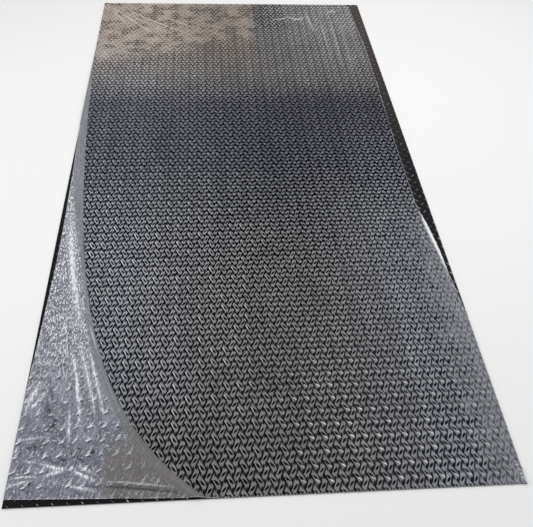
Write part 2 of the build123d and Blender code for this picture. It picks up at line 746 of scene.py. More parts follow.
            kept = finish.add("Math", fading, -group.faded, 1.0, operation="MULTIPLY_ADD")
            sticks = finish.add("Math", sticks, kept, operation="MULTIPLY")
            for mark in group.marks:
                dark = mark.mask(finish, warped, spot.pattern, width, sides, farther)
                dark = finish.add("Math", dark, sticks, operation="MULTIPLY")
                clear = finish.add("Math", 1.0, dark, operation="SUBTRACT")
                grey = finish.add("Math", clear, grey, operation="MULTIPLY")
        return grey

    def _veil(self, finish: Finish, spot: Spot, far_haze: object, crease: object) -> object:
        """Add the nodes of the least grey that a place has, also in its marks.

        Args:
            finish: the finish that takes the nodes.
            spot: where on the sheet it is.
            far_haze: socket of the far end's haze.
            crease: socket of the creases.

        Returns:
            Socket of the share of grey.
        """
        dark_patch = self.dark_patch.mask(finish, spot.across, spot.along)
        veil = finish.add("Math", far_haze, self.far_veil, operation="MULTIPLY")
        veil = finish.add("Math", dark_patch, self.patch_veil, veil, operation="MULTIPLY_ADD",
                          use_clamp=True)
        on_crease = finish.add("MapRange", crease, *self.crease_veil, interpolation_type="SMOOTHSTEP")
        return finish.add("Math", veil, on_crease, operation="MAXIMUM")

    def _glints(self, finish: Finish, spot: Spot, warped: object, sides: object, farther: object,
                crease: object) -> object:
        """Add the nodes of the glints on flanks, tips, slits and creases.

        Args:
            finish: the finish that takes the nodes.
            spot: where on the sheet it is.
            warped: socket of the shifted place, for the marks.
            sides: socket of how much it is at the sheet's sides.
            farther: socket of how much it is farther up the sheet.
            crease: socket of the creases.

        Returns:
            Socket of how strong they are.
        """
        flanks = finish.add("Math", self.flank_glint.mask(finish, warped, spot.pattern, 0.0),
                            self.flank_glints.mask(finish, spot.across, spot.along), operation="MULTIPLY")
        tips = finish.add("Math", self.tip_glint.mask(finish, warped, spot.pattern, 0.0),
                          self.tip_glints.mask(finish, spot.across, spot.along), operation="MULTIPLY")
        cloud = self.glint_cloud.add(finish, spot.on_sheet)
        on_tips = finish.add("MapRange", cloud, *self.tip_evenness)
        on_flanks = finish.add("MapRange", cloud, *self.flank_evenness)
        flanks = finish.add("Math", flanks, on_flanks, operation="MULTIPLY")
        tips = finish.add("Math", tips, on_tips, operation="MULTIPLY")
        glints = finish.add("Math", flanks, tips, operation="MAXIMUM")
        slits = self.slit_glint.mask(finish, warped, spot.pattern, 0.0, sides, farther)
        glints = finish.add("Math", glints, slits, operation="MAXIMUM")
        ridges = finish.add("MapRange", crease, *self.crease_glint, interpolation_type="SMOOTHSTEP")
        return finish.add("Math", glints, ridges, operation="MAXIMUM")

    def _haze_and_reflections(self, finish: Finish, spot: Spot, far_haze: object, dark_band: object, left_side: object,
              slack: object) -> object:
        """Add the nodes of the tents' grey. Its slow changes of tone and tint over the sheet are painted
        reflections of the surroundings, and in the far haze partly the slack film's real haze.

        Args:
            finish: the finish that takes the nodes.
            spot: where on the sheet it is.
            far_haze: socket of the far end's haze.
            dark_band: socket of the dark band across the sheet.
            left_side: socket of the sheet's left side.
            slack: socket of the slack far corner.

        Returns:
            Socket of the colour.
        """
        warm = self.warm_corner.mask(finish, spot.across, spot.along)
        dip = self.right_dip.mask(finish, spot.across, spot.along)
        outside_dip = finish.add("Math", 1.0, dip, operation="SUBTRACT")
        right = finish.add("MapRange", spot.across, *self.right_side_rise)
        right = finish.add("Math", right, outside_dip, operation="MULTIPLY")
        dark_right = self.dark_right.mask(finish, spot.across, spot.along)
        far_right = self.far_right.mask(finish, spot.across, spot.along)
        cool = finish.add("MapRange", spot.along, *self.cooler_farther_up)
        cool = finish.add("Math", cool, right, operation="MAXIMUM")
        cool = finish.add("Math", cool, left_side, operation="MAXIMUM")
        neutral = finish.add("Math", far_haze, self.far_neutral, 1.0, operation="MULTIPLY_ADD")
        cool = finish.add("Math", cool, neutral, operation="MULTIPLY")
        colour = finish.add("Mix", cool, linear(self.haze_colour), linear(self.cool_colour),
                            data_type="RGBA")
        colour = finish.add("Mix", warm, colour, linear(self.warm_colour), data_type="RGBA")
        tint = finish.add("Mix", dark_band, (1.0, 1.0, 1.0, 1.0), self.band_tint, data_type="RGBA")
        colour = finish.add("VectorMath", colour, tint, operation="MULTIPLY")
        tone = finish.add("MapRange", spot.along, *self.tone_farther_up)
        tone = finish.add("Math", far_haze, self.far_haze_tone, tone, operation="MULTIPLY_ADD")
        tone = finish.add("Math", dark_band, self.dark_band_tone, tone, operation="MULTIPLY_ADD")
        for part, more in ((left_side, self.left_tone), (right, self.right_tone),
                           (far_right, self.far_right_tone), (slack, self.slack_tone),
                           (dark_right, self.dark_right_tone)):
            change = finish.add("Math", part, more, 1.0, operation="MULTIPLY_ADD")
            tone = finish.add("Math", tone, change, operation="MULTIPLY")
        for cloud in self.haze_clouds:
            change = finish.add("MapRange", cloud.add(finish, spot.on_sheet), *self.haze_cloud_tones)
            tone = finish.add("Math", tone, change, operation="MULTIPLY")
        return finish.add("VectorMath", colour, named={"Scale": tone}, operation="SCALE")


@dataclass(frozen=True)
class LooseFilm:
    """The film in its loose near left corner, which hangs slack over the lugs.

    It is grey, with painted highlights on its creases, painted highlight strokes with painted
    shadows where it touches the lugs' flanks, fine painted sparkle, painted shade in its troughs and
    dark spots where it touches the flat. A patch at the near end is smooth, and the fold along
    the corner's border is smooth too.
    """

    loose_colour: str = "#7a7d8a"
    smooth_colour: str = "#6d6b6a"
    channel_colour: str = "#7b7f84"
    contact_and_shadow_colour: str = "#20222b"
    sheen_colour: str = "#b3b9c5"
    warp: Warp = Warp(14.0)
    highlight_strokes: tuple = (
        Mark((-6.0, 8.0), 58.0, 8.8, 2.3),
        Mark((-3.5, 14.9), 52.0, 6.6, 1.6, 0.9),
        Mark((-0.5, 20.0), 24.0, 10.0, 1.0, 0.7),
        Mark((15.6, 16.0), 34.0, 6.5, 1.2, 0.7),
    )
    shadows: tuple = (
        Mark((-4.0, 2.8), 58.0, 8.0, 2.2, 0.75),
        Mark((-5.0, 11.4), 55.0, 7.0, 1.2, 0.6),
    )
    smooth_patch: Region = Region((190.0, 240.0), (520.0, 620.0), (-200.0, -100.0), (110.0, 190.0))
    patch_cloud: Cloud = Cloud(38.0, 38.0, 3.0)
    patch_waviness: Ramp = (0.2, 0.8, -26.0, 26.0)
    smooth_share: float = 0.4
    broad_cloud: Cloud = Cloud(26.0, 70.0, 3.0)
    broad_tones: Ramp = (0.25, 0.75, -0.35, 0.35)
    fine_cloud: Cloud = Cloud(5.0, 8.0, 3.0)
    fine_tones: Ramp = (0.25, 0.75, -0.6, 0.6)
    crease_sheen: Ramp = (0.04, 0.8, 0.0, 0.6)
    trough_shade: float = -0.5
    mottle: Cloud = Cloud(7.0, 7.0, 2.0)
    mottled_strokes: Ramp = (0.36, 0.5, 0.35, 1.0)
    touching: Cloud = Cloud(24.0, 20.0, 1.0)
    touching_strokes: Ramp = (0.34, 0.54, 0.2, 1.0)
    crinkled: Region = Region((-100.0, -50.0), (200.0, 240.0), (180.0, 520.0), (1400.0, 1900.0))
    crinkled_strokes: float = -0.5
    streaks: Cloud = Cloud(3.4, 11.0, 3.0)
    white_streaks: Ramp = (0.52, 0.61, 0.0, 0.95)
    sparkle: Cloud = Cloud(4.0, 5.0, 1.0)
    white_sparkle: Ramp = (0.65, 0.71, 0.0, 0.75)
    ridge_share: float = 0.36
    white_ridges: Ramp = (0.7, 0.86, 0.0, 1.0)
    ridge_foot: Ramp = (0.05, 0.3, 0.0, 1.0)
    specks: Cloud = Cloud(6.5, 5.0, 2.0)
    trough_share: float = 0.3
    dark_specks: Ramp = (0.7, 0.84, 0.0, 0.85)
    channel_border: Ramp = (-4.0, 8.0, 0.0, 0.85)
    channel_lines: Cloud = Cloud(3.5, 3.5, 2.0)
    channel_line_stretch: float = 0.02
    channel_tones: Ramp = (0.3, 0.7, 0.72, 1.4)
    smooth_channel: Ramp = (140.0, 280.0, 1.0, 0.0)
    channel_seam_highlight: Ramp = (0.5, 0.9, 0.0, 0.8)

    def colour(self, finish: Finish, spot: Spot, corner: LooseCorner, distance: object) -> object:
        """Add the nodes of the loose film's colour.

        Args:
            finish: the finish that takes the nodes.
            spot: where on the sheet it is.
            corner: the loose corner.
            distance: socket of the distance from the corner's border.

        Returns:
            Socket of the colour.
        """
        wavy = self.patch_cloud.add(finish, spot.on_sheet)
        wavy = finish.add("MapRange", wavy, *self.patch_waviness)
        wavy = finish.add("Math", spot.across, wavy, operation="ADD")
        smooth = self.smooth_patch.mask(finish, wavy, spot.along)
        rough = finish.add("MapRange", smooth, 0.0, 1.0, 1.0, self.smooth_share)
        crease = finish.add("Attribute", attribute_name="crease", output=2)
        contact = finish.add("Attribute", attribute_name="contact", output=2)
        colour = self._grey(finish, spot, smooth, rough, crease, contact)
        colour = self._touches(finish, spot, rough, crease, colour)
        specks = self.specks.add(finish, spot.on_sheet)
        specks = finish.add("Math", contact, self.trough_share, specks, operation="MULTIPLY_ADD")
        specks = finish.add("MapRange", specks, *self.dark_specks, interpolation_type="SMOOTHSTEP")
        specks = finish.add("Math", specks, rough, operation="MULTIPLY")
        colour = finish.add("Mix", specks, colour, linear(self.contact_and_shadow_colour), data_type="RGBA")
        return self._channel(finish, spot, corner, distance, colour)

    def _grey(self, finish: Finish, spot: Spot, smooth: object, rough: object, crease: object,
              contact: object) -> object:
        """Add the nodes of the film's cloudy grey, with painted sheen on its creases and painted shade in
        its troughs.

        Args:
            finish: the finish that takes the nodes.
            spot: where on the sheet it is.
            smooth: socket of the smooth patch.
            rough: socket of how rough the film is.
            crease: socket of the creases.
            contact: socket of the troughs, where the film touches the flat.

        Returns:
            Socket of the colour.
        """
        colour = finish.add("Mix", smooth, linear(self.loose_colour), linear(self.smooth_colour),
                            data_type="RGBA")
        for cloud, tones in ((self.broad_cloud, self.broad_tones), (self.fine_cloud, self.fine_tones)):
            tone = finish.add("MapRange", cloud.add(finish, spot.on_sheet), *tones)
            tone = finish.add("Math", tone, rough, 1.0, operation="MULTIPLY_ADD")
            colour = finish.add("VectorMath", colour, named={"Scale": tone}, operation="SCALE")
        sheen = finish.add("MapRange", crease, *self.crease_sheen)
        sheen = finish.add("Math", sheen, rough, operation="MULTIPLY")
        colour = finish.add("Mix", sheen, colour, linear(self.sheen_colour), data_type="RGBA")
        # Painted shade: the troughs are darkened
        tone = finish.add("Math", contact, self.trough_shade, 1.0, operation="MULTIPLY_ADD")
        return finish.add("VectorMath", colour, named={"Scale": tone}, operation="SCALE")

    def _touches(self, finish: Finish, spot: Spot, rough: object, crease: object,
                 colour: object) -> object:
        """Add the nodes of the painted highlights and painted shadows where the film creases and touches
        the lugs, and of its painted sparkle.

        Args:
            finish: the finish that takes the nodes.
            spot: where on the sheet it is.
            rough: socket of how rough the film is.
            crease: socket of the creases.
            colour: socket of the film's grey.

        Returns:
            Socket of the colour.
        """
        uneven = self.mottle.add(finish, spot.on_sheet)
        uneven = finish.add("MapRange", uneven, *self.mottled_strokes)
        touching = self.touching.add(finish, spot.on_sheet)
        touching = finish.add("MapRange", touching, *self.touching_strokes)
        uneven = finish.add("Math", uneven, touching, operation="MULTIPLY")
        warped = self.warp.add(finish, spot.on_sheet)
        # Painted shadows beside the highlight strokes
        for shadow in self.shadows:
            shade = shadow.mask(finish, warped, spot.pattern, 0.0)
            shade = finish.add("Math", shade, uneven, operation="MULTIPLY")
            shade = finish.add("Math", shade, rough, operation="MULTIPLY")
            colour = finish.add("Mix", shade, colour, linear(self.contact_and_shadow_colour), data_type="RGBA")
        crinkled = self.crinkled.mask(finish, spot.across, spot.along)
        streaks = self.streaks.add(finish, spot.on_sheet)
        highlight = finish.add("MapRange", streaks, *self.white_streaks, interpolation_type="SMOOTHSTEP")
        highlight = finish.add("Math", highlight, crinkled, operation="MULTIPLY")
        sparkle = self.sparkle.add(finish, spot.on_sheet)
        sparkle = finish.add("MapRange", sparkle, *self.white_sparkle, interpolation_type="SMOOTHSTEP")
        highlight = finish.add("Math", highlight, sparkle, operation="MAXIMUM")
        fewer = finish.add("Math", crinkled, self.crinkled_strokes, 1.0, operation="MULTIPLY_ADD")
        # Painted highlights: white strokes where the film touches the lugs' flanks
        for stroke in self.highlight_strokes:
            tick = stroke.mask(finish, warped, spot.pattern, 0.0)
            tick = finish.add("Math", tick, uneven, operation="MULTIPLY")
            tick = finish.add("Math", tick, fewer, operation="MULTIPLY")
            highlight = finish.add("Math", tick, highlight, operation="MAXIMUM")
        # Painted highlights along the creases
        ridge = finish.add("Math", crease, self.ridge_share, streaks, operation="MULTIPLY_ADD")
        ridge = finish.add("MapRange", ridge, *self.white_ridges, interpolation_type="SMOOTHSTEP")
        foot = finish.add("MapRange", crease, *self.ridge_foot)
        ridge = finish.add("Math", ridge, foot, operation="MULTIPLY")
        highlight = finish.add("Math", highlight, ridge, operation="MAXIMUM")
        highlight = finish.add("Math", highlight, rough, operation="MULTIPLY")
        return finish.add("Mix", highlight, colour, linear(GLINT_COLOUR), data_type="RGBA")

    def _channel(self, finish: Finish, spot: Spot, corner: LooseCorner, distance: object,
                 colour: object) -> object:
        """Add the nodes of the smooth fold along the border of the loose corner, with a painted highlight
        along its seam.

        Args:
            finish: the finish that takes the nodes.
            spot: where on the sheet it is.
            corner: the loose corner.
            distance: socket of the distance from the corner's border.
            colour: socket of the loose film's colour.

        Returns:
            Socket of the colour.
        """
        width = finish.add("MapRange", spot.along, *corner.narrowing, corner.channel_width,
                           corner.waist_width)
        width = finish.add("MapRange", spot.along, *corner.widening, width, corner.far_channel_width)
        inwards = finish.add("Math", distance, width, operation="ADD")
        channel = finish.add("MapRange", inwards, *self.channel_border, interpolation_type="SMOOTHSTEP")
        slowed = finish.add("Math", spot.along, self.channel_line_stretch, operation="MULTIPLY")
        lengthwise = finish.add("CombineXYZ", distance, slowed)
        tone = finish.add("MapRange", self.channel_lines.add(finish, lengthwise), *self.channel_tones)
        near = finish.add("MapRange", spot.along, *self.smooth_channel, interpolation_type="SMOOTHSTEP")
        grey = finish.add("Mix", near, linear(self.channel_colour), linear(self.smooth_colour),
                          data_type="RGBA")
        grey = finish.add("VectorMath", grey, named={"Scale": tone}, operation="SCALE")
        colour = finish.add("Mix", channel, colour, grey, data_type="RGBA")
        # Painted highlight along the fold's seam
        seam = finish.add("Attribute", attribute_name="crease", output=2)
        seam = finish.add("MapRange", seam, *self.channel_seam_highlight, interpolation_type="SMOOTHSTEP")
        seam = finish.add("Math", seam, channel, operation="MULTIPLY")
        return finish.add("Mix", seam, colour, linear(GLINT_COLOUR), data_type="RGBA")


@dataclass(frozen=True)
class ClearPolyethylene:
    """Blown polyethylene film with a low-tack adhesive, over treaded metal.

    It is nearly opaque to the eye here, because what shows through it where it sticks is part of
    its colour. Its loose corner is glossier than the rest, and its cut and curled edges carry painted
    highlights.
    """

    stuck: StuckFilm = StuckFilm()
    loose: LooseFilm = LooseFilm()
    loose_border: Ramp = (-3.0, 0.0, 1.0, 0.0)
    rim_highlight: Ramp = (0.35, 1.0, 0.0, 0.55)
    curl_highlight: Ramp = (0.2, 0.6, 0.0, 0.95)
    roughness: float = 0.25
    stuck_opacity: float = 0.97
    loose_opacity: float = 0.9
    stuck_specular: float = 0.03
    loose_specular: float = 0.3
    crinkles: Cloud = Cloud(6.0, 14.0, 3.0)
    crinkle_strength: float = 0.5
    crinkle_depth: float = 0.004

    def material(self, sheet: Sheet, pattern: TreadPattern, corner: LooseCorner) -> bpy.types.Material:
        """Make the finish.

        Args:
            sheet: the sheet under the film.
            pattern: the sheet's tread pattern.
            corner: the film's loose corner.

        Returns:
            The material.
        """
        finish = Finish("clear_polyethylene")
        on_sheet = sheet.place_nodes(finish)
        across = finish.add("SeparateXYZ", on_sheet, output=0)
        along = finish.add("SeparateXYZ", on_sheet, output=1)
        spot = Spot(on_sheet, across, along, pattern)
        distance = corner.distance_nodes(finish, across, along)
        loose = finish.add("MapRange", distance, *self.loose_border, interpolation_type="SMOOTHSTEP")
        stuck_colour = self.stuck.colour(finish, spot)
        loose_colour = self.loose.colour(finish, spot, corner, distance)
        colour = finish.add("Mix", loose, stuck_colour, loose_colour, data_type="RGBA")
        # Painted highlights along the film's cut edge and its curled edge
        rim = finish.add("Attribute", attribute_name="rim", output=2)
        rim = finish.add("MapRange", rim, *self.rim_highlight, interpolation_type="SMOOTHSTEP")
        curl = finish.add("Attribute", attribute_name="curl", output=2)
        curl = finish.add("MapRange", curl, *self.curl_highlight, interpolation_type="SMOOTHSTEP")
        highlight = finish.add("Math", rim, curl, operation="MAXIMUM")
        colour = finish.add("Mix", highlight, colour, linear(GLINT_COLOUR), data_type="RGBA")
        opacity = finish.add("MapRange", loose, 0.0, 1.0, self.stuck_opacity, self.loose_opacity)
        specular = finish.add("MapRange", loose, 0.0, 1.0, self.stuck_specular, self.loose_specular)
        crinkles = self.crinkles.add(finish, on_sheet)
        crinkles = finish.add("Math", crinkles, loose, operation="MULTIPLY")
        bumps = finish.add("Bump", named={"Strength": self.crinkle_strength,
                                          "Distance": self.crinkle_depth, "Height": crinkles})
        shader = finish.add("BsdfPrincipled", named={
            "Base Color": colour, "Roughness": self.roughness, "Alpha": opacity,
            "Specular IOR Level": specular, "Normal": bumps})
        finish.add("OutputMaterial", shader)
        return finish.material


def new_piece(name: str, mesh: bmesh.types.BMesh,
              material: bpy.types.Material) -> bpy.types.Object:
    """Make a smoothly shaded piece of the sheet from a finished bmesh.

    Args:
        name: the piece's name.
        mesh: its shape, in metres; it is freed here.
        material: its finish.

    Returns:
        The piece's object, riding on the sheet's body.
    """
    data = bpy.data.meshes.new(name)
    mesh.to_mesh(data)
    mesh.free()
    data.polygons.foreach_set("use_smooth", [True] * len(data.polygons))
    data.materials.append(material)
    piece = bpy.data.objects.new(name, data)
    bpy.context.scene.collection.objects.link(piece)
    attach(piece, ROOT)
    return piece


def keep_inside(mesh: bmesh.types.BMesh, place: Vector, outwards: Vector, close: bool = False,
                geometry: list | None = None) -> None:
    """Cut a mesh along an upright plane and drop what is outside.

    Args:
        mesh: the mesh to cut.
        place: a point of the plane.
        outwards: the plane's normal, towards what is dropped.
        close: whether the cut is closed with new faces.
        geometry: the part of the mesh to cut, or None for all of it.
    """
    if geometry is None:
        geometry = [*mesh.verts, *mesh.edges, *mesh.faces]
    cut = bmesh.ops.bisect_plane(mesh, geom=geometry, plane_co=place, plane_no=outwards,
                                 dist=CUT_TOLERANCE, clear_outer=True)
    if close:
        edges = [part for part in cut["geom_cut"] if isinstance(part, bmesh.types.BMEdge)]
        bmesh.ops.holes_fill(mesh, edges=edges, sides=0)


@dataclass(frozen=True)
class TreadLugs:
    """The raised lugs of one lean, pressed into the sheet by the rolls, in millimetres."""

    sheet: Sheet
    pattern: TreadPattern
    half_length: float = 13.6
    half_width: float = 4.9
    height: float = 1.5
    roundness: float = 1.8
    sunk: float = 0.25
    edge_roll: float = 0.4
    length_steps: int = 8
    width_steps: int = 4
    rim_share: float = 0.999
    weld: float = 0.001
    spare_pitches: int = 2

    def build(self, lean: Lean, material: bpy.types.Material) -> bpy.types.Object:
        """Make every lug of one lean.

        Args:
            lean: which way the lugs lean.
            material: the sheet's finish.

        Returns:
            The piece.
        """
        across = math.ceil(self.sheet.width / self.pattern.pitch_across) + self.spare_pitches
        along = math.ceil(self.sheet.length / self.pattern.pitch_along) + self.spare_pitches
        lugs = self._one_lug(lean)
        self._repeat(lugs, Vector((self.pattern.pitch_across * MM, 0.0, 0.0)), across)
        self._repeat(lugs, Vector((0.0, self.pattern.pitch_along * MM, 0.0)), along)
        for outwards in (Vector((1, 0, 0)), Vector((-1, 0, 0)), Vector((0, 1, 0)), Vector((0, -1, 0))):
            half = Vector((self.sheet.width / 2, self.sheet.length / 2, 0)) * MM
            reach = abs(half.dot(outwards)) - self.edge_roll * MM
            keep_inside(lugs, outwards * reach, outwards, close=True)
        bmesh.ops.recalc_face_normals(lugs, faces=lugs.faces)
        name = f"lugs_leaning_{lean.name.lower()}"
        return new_piece(name, lugs, material)

    def _one_lug(self, lean: Lean) -> bmesh.types.BMesh:
        """Shape the first lug, one pitch outside the sheet's near left corner.

        Args:
            lean: which way it leans.

        Returns:
            A closed lug: a pointed oval with a rounded section, its rim just below the flat.
        """
        lug = bmesh.new()
        bmesh.ops.create_grid(lug, x_segments=self.length_steps, y_segments=self.width_steps, size=1.0)
        for vert in lug.verts:
            end, side = vert.co.x, vert.co.y
            width = self.half_width * (1 - end * end)
            top = self.height * (1 - end ** END_POWER) * (1 - abs(side) ** self.roundness)
            on_rim = max(abs(end), abs(side)) > self.rim_share
            vert.co = Vector((end * self.half_length, side * width, -self.sunk if on_rim else top))
        bmesh.ops.remove_doubles(lug, verts=lug.verts, dist=self.weld)
        rim = [edge for edge in lug.edges if edge.is_boundary]
        bmesh.ops.contextual_create(lug, geom=rim)
        axis = self.pattern.axis(lean)
        turn = Matrix.Rotation(math.atan2(axis[1], axis[0]), 4, "Z")
        start = self.pattern.start(lean)
        first = self.sheet.metres(start[0] - self.pattern.pitch_across, start[1] - self.pattern.pitch_along)
        place = Matrix.Translation(first) @ Matrix.Scale(MM, 4) @ turn
        bmesh.ops.transform(lug, matrix=place, verts=lug.verts)
        return lug

    @staticmethod
    def _repeat(mesh: bmesh.types.BMesh, step: Vector, count: int) -> None:
        """Repeat all of a mesh in a row.

        Args:
            mesh: the mesh.
            step: the way from one copy to the next.
            count: how many there are in the end.
        """
        block = [*mesh.verts, *mesh.edges, *mesh.faces]
        for number in range(1, count):
            made = bmesh.ops.duplicate(mesh, geom=block)["geom"]
            moved = [part for part in made if isinstance(part, bmesh.types.BMVert)]
            bmesh.ops.translate(mesh, verts=moved, vec=step * number)


@dataclass(frozen=True)
class ProtectiveFilm:
    """The one sheet of clear film on the treaded face, in millimetres from its near left corner."""

    sheet: Sheet
    pattern: TreadPattern
    corner: LooseCorner = LooseCorner()
    tent: Lens = Lens(17.5, 7.0)
    crest: float = 1.95
    stuck: float = 0.12
    least_tent: float = 0.001
    steps_per_lug: int = 4
    edge_roll: float = 0.4
    front_pull: float = 19.0
    front_pull_ends: float = 512.0
    far_corner_radius: float = 38.0
    far_corner_cuts: int = 5
    side_strip: float = 80.0
    bend_strip: float = 20.0
    right_edge: tuple = ((488, 0), (560, 5), (611, 7), (660, 13), (762, 18), (871, 29), (940, 37),
                         (1000, 42), (1322, 42), (1475, 39), (1642, 36), (1731, 32), (2031, 31),
                         (2133, 35), (2246, 42), (2440, 44))
    left_edge: tuple = ((195, 0), (325, 2), (477, 7), (620, 11), (745, 14), (900, 14), (1014, 12),
                        (1240, 7), (1463, 0))
    creases: tuple = (
        Crease((28, 1000), (50, 740), (128, 455), 13.0, 2.4),
        Crease((95, 440), (130, 348), (152, 165), 5.6, 2.8),
        Crease((107, 470), (150, 370), (189, 200), 5.6, 2.4, 0.95),
        Crease((144, 436), (170, 350), (214, 190), 4.6, 2.4, 0.95),
        Crease((132, 530), (152, 470), (174, 402), 2.8, 0.6, 1.0),
        Crease((118, 250), (123, 194), (128, 148), 4.0, 2.2, 0.85),
        Crease((8, 238), (20, 285), (38, 335), 8.0, 2.0, 0.95),
        Crease((14, 225), (36, 275), (60, 310), 6.0, 1.6, 0.75),
        Crease((0, 64), (42, 77), (74, 67), 3.2, 1.8, 0.85),
        Crease((2, 45), (28, 60), (68, 62), 3.2, 1.8, 0.85),
        Crease((64, 106), (100, 86), (142, 85), 5.5, 2.4, 0.95),
        Crease((138, 86), (166, 70), (207, 51), 6.0, 2.4, 0.95),
        Crease((80, 66), (104, 81), (129, 79), 5.0, 2.2),
        Crease((136, 46), (165, 38), (212, 28), 4.6, 2.0, 0.9),
        Crease((150, 96), (176, 82), (205, 66), 7.0, 1.8, 0.6),
        Crease((25, 114), (44, 106), (66, 104), 3.4, 1.6, 0.75),
        Crease((7, 163), (42, 169), (84, 171), 3.4, 1.8, 0.8),
        Crease((3, 125), (10, 138), (8, 152), 3.0, 1.6, 0.9),
        Crease((215, 52), (300, 46), (410, 24), 3.0, 1.6, 1.0),
        Crease((1186, 520), (1196, 340), (1204, 170), 2.2, 0.8, 0.5),
        Crease((1206, 70), (1210, 34), (1214, 3), 2.6, 1.0, 1.0),
        Crease((29, 2407), (108, 2307), (304, 2064), 4.6, 1.6, 0.8),
        Crease((24, 2417), (98, 2258), (156, 2145), 5.0, 1.6, 0.7),
        Crease((77, 2408), (179, 2288), (461, 2101), 4.6, 1.6, 0.75),
        Crease((40, 2400), (150, 2290), (380, 2080), 5.0, 1.2, 0.6),
        Crease((260, 2330), (330, 2250), (520, 2150), 5.0, 1.4, 0.65),
        Crease((400, 2300), (470, 2230), (640, 2150), 5.0, 1.4, 0.6),
        Crease((780, 2300), (830, 2262), (880, 2325), 6.0, 1.0, 0.62),
        Crease((850, 2330), (905, 2250), (950, 2322), 7.0, 1.0, 0.66),
        Crease((1050, 2330), (1090, 2400), (1120, 2350), 7.0, 1.0, 0.55),
        Crease((941, 2405), (966, 2291), (984, 2054), 10.0, 1.0, 0.45),
        Crease((1006, 2400), (1018, 2200), (1020, 1720), 10.0, 0.8, 0.4),
        Crease((1062, 2420), (1064, 2160), (1060, 1640), 10.0, 0.8, 0.4),
        Crease((1108, 2430), (1106, 2120), (1102, 1660), 10.0, 0.8, 0.4),
        Crease((1142, 2400), (1146, 2120), (1144, 1720), 9.0, 0.8, 0.38),
    )
    troughs: tuple = (
        Crease((72, 116), (120, 98), (147, 88), 4.5, 1.0, 0.6),
        Crease((112, 147), (140, 120), (190, 90), 4.5, 1.2, 0.7),
        Crease((155, 85), (172, 72), (193, 57), 4.0, 1.0, 0.6),
        Crease((165, 46), (190, 40), (216, 37), 3.5, 1.0, 0.6),
        Crease((93, 222), (79, 201), (73, 181), 8.0, 1.0, 1.1),
        Crease((60, 252), (68, 242), (76, 232), 7.0, 1.0, 0.9),
        Crease((26, 142), (44, 148), (66, 140), 7.5, 1.0, 0.9),
        Crease((110, 112), (120, 110), (131, 107), 4.5, 1.0, 1.2),
        Crease((184, 129), (189, 127), (194, 124), 5.5, 1.0, 1.5),
        Crease((149, 134), (155, 139), (161, 145), 4.0, 0.8, 1.0),
        Crease((39, 52), (52, 54), (66, 51), 4.0, 1.0, 1.0),
        Crease((52, 336), (64, 306), (76, 268), 4.0, 0.8, 0.8),
        Crease((206, 41), (300, 34), (420, 12), 3.6, 1.0, 1.2),
    )
    finest_along: float = 900.0
    wave_height: float = 0.5
    wave_sizes: tuple = ((19.0, 43.0), (-57.0, 31.0))
    curl_height: float = 7.5
    curl_width: float = 22.0
    curl_start: tuple[float, float] = (560.0, 820.0)
    curl_end: tuple[float, float] = (-990.0, -860.0)
    near_curl: float = 0.5
    near_curl_end: tuple[float, float] = (-60.0, -15.0)

    def build(self, material: bpy.types.Material) -> bpy.types.Object:
        """Make the film.

        Args:
            material: its finish.

        Returns:
            The piece.
        """
        film = self._lattice()
        self._trim(film)
        self._refine(film)
        self._lift(film)
        piece = new_piece("film", film, material)
        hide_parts("protective_film")
        return piece

    def _lattice(self) -> bmesh.types.BMesh:
        """Make a flat lattice over the sheet, whose lines run along both leans of lug."""
        film = bmesh.new()
        step_across = self.pattern.pitch_across / 2 / self.steps_per_lug
        step_along = self.pattern.pitch_along / 2 / self.steps_per_lug
        reach = (self.sheet.width / step_across + self.sheet.length / step_along) / 4
        count = 2 * (math.ceil(reach) + self.steps_per_lug)
        bmesh.ops.create_grid(film, x_segments=count, y_segments=count, size=count / 2)
        start = self.pattern.start(Lean.RIGHT)
        pitches = (self.sheet.width / 2 - start[0]) // self.pattern.pitch_across
        rows = (self.sheet.length / 2 - start[1]) // self.pattern.pitch_along
        lug_across = start[0] + pitches * self.pattern.pitch_across
        lug_along = start[1] + rows * self.pattern.pitch_along
        shear = Matrix(((step_across, step_across, 0.0, lug_across),
                        (step_along, -step_along, 0.0, lug_along),
                        (0.0, 0.0, 1.0, 0.0), (0.0, 0.0, 0.0, 1.0)))
        bmesh.ops.transform(film, matrix=shear, verts=film.verts)
        bmesh.ops.reverse_faces(film, faces=film.faces)
        return film

    def _trim(self, film: bmesh.types.BMesh) -> None:
        """Cut the lattice to the film's outline.

        Args:
            film: the flat lattice, in millimetres.
        """
        width, length, roll = self.sheet.width, self.sheet.length, self.edge_roll
        keep_inside(film, Vector((roll, 0, 0)), Vector((-1, 0, 0)))
        keep_inside(film, Vector((width - roll, 0, 0)), Vector((1, 0, 0)))
        keep_inside(film, Vector((0, roll, 0)), Vector((0, -1, 0)))
        keep_inside(film, Vector((0, length - roll, 0)), Vector((0, 1, 0)))
        front = Vector((-self.front_pull, -self.front_pull_ends, 0)).normalized()
        keep_inside(film, Vector((roll, self.front_pull, 0)), front)
        self._trim_side(film, self.right_edge, width - roll, -1)
        self._trim_side(film, self.left_edge, roll, 1)
        far_right = width - roll - self.right_edge[-1][1]
        radius = self.far_corner_radius
        for number in range(1, self.far_corner_cuts + 1):
            angle = math.radians(90 / (self.far_corner_cuts + 1) * number)
            for centre, towards in ((far_right - radius, 1), (roll + radius, -1)):
                outwards = Vector((towards * math.cos(angle), math.sin(angle), 0))
                middle = Vector((centre, length - roll - radius, 0))
                keep_inside(film, middle + outwards * radius, outwards)

